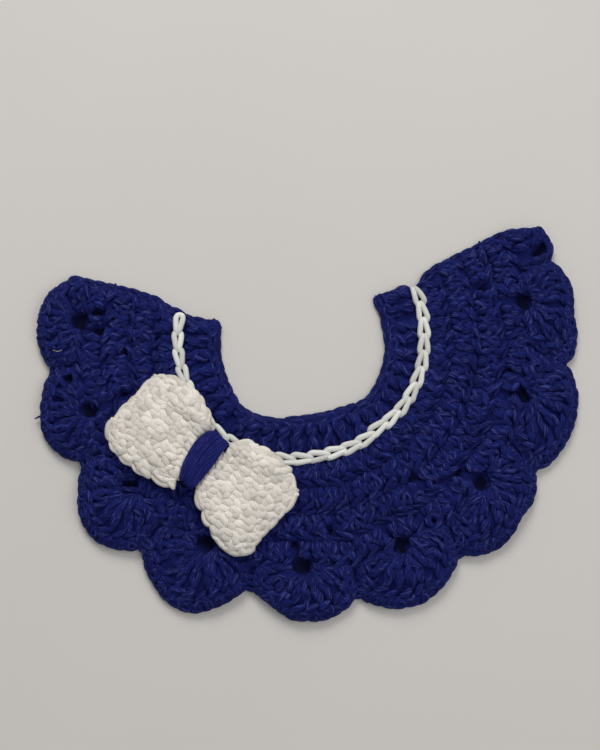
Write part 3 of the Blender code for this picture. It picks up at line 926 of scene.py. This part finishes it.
def plied_yarn_group():
    """Plies wound round a strand, with painted shade between them and painted highlights:
    thin light streaks in clusters along their crests.
    """
    group = bpy.data.node_groups.new("plied_yarn", "ShaderNodeTree")
    for way, sockets in (("INPUT", YARN_INPUTS), ("OUTPUT", YARN_OUTPUTS)):
        for name, kind in sockets:
            group.interface.new_socket(name=name, in_out=way, socket_type="NodeSocket" + kind)

    def do(operation, *values):
        return maths(group, operation, *values)

    given = node(group, "NodeGroupInput").outputs
    u, v, _ = fill(group, node(group, "ShaderNodeSeparateXYZ"), {0: given["Place"]})
    tone = given["Tone"]
    round_strand = do("MULTIPLY", v, given["Plies"])
    phase = do("MULTIPLY_ADD", u, given["Turns"], round_strand)
    ply = do("SINE", do("MULTIPLY", do("FRACT", phase), math.pi))
    ply = do("POWER", ply, 0.6)

    def noise_along(stretches, scale, detail):
        parts = [do("MULTIPLY", value, part) for value, part in zip((u, phase, tone), stretches)]
        return noise_at(group, parts, scale, detail)

    grain = noise_along((0.5, 2.6, 31.0), 2.2, 3.0)
    # Painted highlight: light streaks, in clusters chosen by noise, along the plies' crests.
    chosen = do("SUBTRACT", noise_along((0.30, 0.8, 47.0), 1.0, 2.0), 0.53)
    chosen = do("MULTIPLY", chosen, 9.0)
    chosen = do("MAXIMUM", do("MINIMUM", chosen, 1.0), 0.0)
    thin = do("POWER", ply, 5.0)
    streak = do("MULTIPLY", do("MULTIPLY", chosen, thin), given["Highlight amount"])
    # Painted shade between the plies, the body colour on their crests, then the painted highlight
    # streaks.
    colour = mixed(group, ply, given["Shade"], given["Body"])
    colour = mixed(group, streak, colour, given["Highlight colour"])
    # The tone sets brightness: random from strand to strand, and near black where a cloth's low tone
    # paints shade in its holes.
    light = do("MULTIPLY_ADD", tone, 0.34, 0.82)
    level = fill(group, node(group, "ShaderNodeCombineColor"), {0: light, 1: light, 2: light})
    colour = mixed(group, 1.0, colour, level[0], "MULTIPLY")
    height = do("MULTIPLY_ADD", grain, 0.45, do("MULTIPLY", ply, 0.8))
    rough = do("MULTIPLY_ADD", grain, 0.25, 0.62)
    fill(group, node(group, "NodeGroupOutput"), {"Colour": colour, "Height": height, "Roughness": rough})
    return group


YARN_GROUP = plied_yarn_group()


def new_material(name):
    material = bpy.data.materials.new(name)
    material.use_nodes = True
    return material, material.node_tree, material.node_tree.nodes["Principled BSDF"]


# The shade colour is painted shade between the plies; the fibre colour and its amount give the painted
# highlight streaks on the plies' crests.
def yarn_material(name, shade, body, fibre, plies, turns=0.45, highlight_amount=0.5, relief=0.00025, sheen=0.0):
    """Plied yarn in three colours: painted shade between the plies, the body colour on them,
    and painted highlight streaks along their crests.
    """
    material, tree, shader = new_material(name)
    place = node(tree, "ShaderNodeUVMap", uv_map="yarn").outputs[0]
    tone = node(tree, "ShaderNodeAttribute", attribute_name="tone").outputs["Fac"]
    yarn = fill(tree, node(tree, "ShaderNodeGroup", node_tree=YARN_GROUP), {
        "Place": place, "Tone": tone, "Shade": (*shade, 1), "Body": (*body, 1), "Highlight colour": (*fibre, 1),
        "Plies": plies, "Turns": turns, "Highlight amount": highlight_amount})
    bump = fill(tree, node(tree, "ShaderNodeBump"), {
        "Strength": 1.0, "Distance": relief, "Height": yarn["Height"]})
    fill(tree, shader, {
        "Normal": bump[0], "Base Color": yarn["Colour"], "Roughness": yarn["Roughness"],
        "Sheen Weight": sheen, "Sheen Roughness": 0.5, "Specular IOR Level": 0.12})
    return material


# For each yarn: painted shade between the plies, the body colour, and the colour of the painted
# highlight streaks.
navy = yarn_material(
    "navy_yarn", (0.0045, 0.008, 0.085), (0.0085, 0.0145, 0.14), (0.13, 0.15, 0.48),
    plies=13.0, turns=0.5, highlight_amount=0.55)
# A darker navy for the cloth behind the stitches: painted shade in the gaps between them.
painted_shade_navy = yarn_material(
    "painted_shade_navy_yarn", (0.004, 0.007, 0.085), (0.006, 0.010, 0.11), (0.008, 0.01, 0.12), plies=8.0)
warm_white = yarn_material(
    "warm_white_yarn", (0.75, 0.70, 0.62), (0.82, 0.775, 0.705), (0.87, 0.84, 0.79),
    plies=8.0, turns=0.4, highlight_amount=0.2, relief=0.0001, sheen=0.05)
chain_white = yarn_material(
    "chain_white_yarn", (0.70, 0.71, 0.67), (0.79, 0.80, 0.76), (0.84, 0.85, 0.82),
    plies=8.0, turns=0.4, highlight_amount=0.25, relief=0.0001, sheen=0.05)
thread_blue = yarn_material(
    "wrap_thread", (0.006, 0.008, 0.07), (0.013, 0.018, 0.165), (0.08, 0.09, 0.42),
    plies=4.0, turns=0.2, highlight_amount=0.4)


# The cloths behind the stitches

CLOTH_INSET = 1.6  # how far the collar's cloth stays inside its edges


def slab(name, columns, rows, point, material):
    """A thin closed cloth: two sheets of a grid, joined round their edge."""
    u, v = np.meshgrid(np.arange(columns + 1), np.arange(rows + 1), indexing="ij")
    sheets = [np.array([point(a, b, is_top) for a, b in zip(u.ravel(), v.ravel())])
              for is_top in (True, False)]
    count = sheets[0].shape[0]

    def at(i, j):
        return i * (rows + 1) + j

    faces = []
    for i in range(columns):
        for j in range(rows):
            quad = (at(i, j), at(i + 1, j), at(i + 1, j + 1), at(i, j + 1))
            faces.append(quad)
            faces.append(tuple(corner + count for corner in quad[::-1]))
    rim = [at(i, 0) for i in range(columns)] + [at(columns, j) for j in range(rows)]
    rim += [at(i, rows) for i in range(columns, 0, -1)] + [at(0, j) for j in range(rows, 0, -1)]
    for near, far in zip(rim, rim[1:] + rim[:1]):
        faces.append((far, near, near + count, far + count))
    mesh = bpy.data.meshes.new(name)
    mesh.from_pydata((np.concatenate(sheets) * MM).tolist(), [], faces)
    layer = mesh.uv_layers.new(name="yarn")
    for loop in mesh.loops:
        corner = mesh.vertices[loop.vertex_index].co
        layer.data[loop.index].uv = (corner.x / MM, corner.y / MM * 0.25)
    # Where a cloth is thinner than 0.4 mm, as in the collar's holes and gaps, its tone is set so low
    # that it shades almost black: painted shade. Elsewhere its tone is a fixed 0.6.
    thick = np.tile(sheets[0][:, 2] - sheets[1][:, 2], 2)
    return piece_of(mesh, np.where(thick < 0.4, -1.7, 0.6), material)


def collar_cloth():
    """The thin cloth behind the stitches, from the neck's edge out to the shells' rims.
    Its darker navy is painted shade, seen in the gaps between the stitches.
    """
    columns, rows = 300, 26
    radii = np.linspace(30.0, 84.0, 55)
    limits = np.array([ends(radius) for radius in radii])
    angles = np.linspace(163.0, 390.0, columns + 1)
    inner = np.array([edge_radius(angle) for angle in angles])
    outer = np.array([outer_radius(angle, 70.0, 110.0) for angle in angles])
    outer = outer + np.minimum(0.0, rim_shift(angles))
    outer = np.min([np.roll(outer, shift) for shift in (-1, 0, 1)], axis=0)

    def point(column, row, is_top):
        angle = angles[column]
        for _ in range(5):
            neck, rim = np.interp(angle, angles, inner), np.interp(angle, angles, outer)
            radius = neck + CLOTH_INSET + (rim - neck - 2 * CLOTH_INSET) * row / rows
            first, last = (np.interp(radius, radii, limit) for limit in limits.T)
            turn = np.degrees(CLOTH_INSET / radius)
            angle = first + turn + (last - first - 2 * turn) * column / columns
        place = polar(radius, angle)
        low = collar.read(collar.under, place) + 0.9
        high = max(low + 0.5, collar.read(collar.top, place) - 1.0)
        # In the holes and gaps the cloth is sunk and thin, so it gets the painted shade of the thin
        # places.
        for middle, size in GAP_PLACES:
            if np.linalg.norm(place - middle) < size + 0.4:
                high = low + 0.2
        return (*place, high if is_top else low)

    return slab("collar_cloth", columns, rows, point, painted_shade_navy)


cloth = collar_cloth()
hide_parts(*NAVY_NODES)
stitches = build_collar()
underside = build_back()

white_chain = worked("surface_chain", chain_white, "chain_white_cotton", (surface_chain,))
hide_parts("chain_trim")
bow = bow_cloth()
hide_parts("bow")
bow_stitches = build_bow()
wrap = worked("wrap_threads", thread_blue, "blue_thread", (wrap_threads,))
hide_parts("bow_wrap")


# The floor, the light and the camera

def plain_material(name, colour, grain):
    material, tree, shader = new_material(name)
    place = node(tree, "ShaderNodeTexCoord").outputs["Object"]
    noise = fill(tree, node(tree, "ShaderNodeTexNoise"), {"Scale": grain, "Vector": place})
    darker = tuple(0.94 * value for value in colour)
    varied = mixed(tree, noise["Fac"], (*darker, 1), (*colour, 1))
    fill(tree, shader, {"Base Color": varied, "Roughness": 0.9})
    return material


def floor():
    bpy.ops.mesh.primitive_plane_add(size=6.0, location=(0, 0, -0.0001))
    ground = bpy.context.object
    ground.name = "floor"
    ground.data.materials.append(plain_material("pale_floor", (0.70, 0.68, 0.65), 8.0))


def area_light(name, place, aim, size, power, colour):
    data = bpy.data.lights.new(name, "AREA")
    data.shape = "DISK"
    data.size = size
    data.energy = power
    data.color = colour
    lamp = bpy.data.objects.new(name, data)
    lamp.location = place
    lamp.rotation_euler = (Vector(aim) - Vector(place)).to_track_quat("-Z", "Y").to_euler()
    bpy.context.scene.collection.objects.link(lamp)


def lights():
    area_light("window_light", (-0.16, 0.80, 0.75), (0, 0, 0), 0.6, 6.0, (1.0, 0.975, 0.95))
    area_light("ceiling_light", (0.62, -0.10, 1.1), (0.06, 0, 0), 1.2, 5.2, (1.0, 0.98, 0.96))
    world = bpy.data.worlds.new("studio")
    world.use_nodes = True
    world.node_tree.nodes["Background"].inputs[0].default_value = (0.95, 0.97, 1.0, 1)
    world.node_tree.nodes["Background"].inputs[1].default_value = 0.29
    bpy.context.scene.world = world


def camera():
    """Above and a little in front of the collar, as the photo was taken."""
    elevation, distance = math.radians(78.0), 0.45
    aim = Vector((-0.00258, 0.01596, 0.0))
    data = bpy.data.cameras.new("camera")
    data.sensor_width = 36.0
    data.lens = 59.83
    data.clip_start = 0.01
    eye = bpy.data.objects.new("camera", data)
    eye.location = aim + distance * Vector((0, -math.cos(elevation), math.sin(elevation)))
    eye.rotation_euler = (math.pi / 2 - elevation, 0, 0)
    bpy.context.scene.collection.objects.link(eye)
    bpy.context.scene.camera = eye


floor()
lights()
camera()
bpy.context.scene.view_settings.view_transform = "Standard"
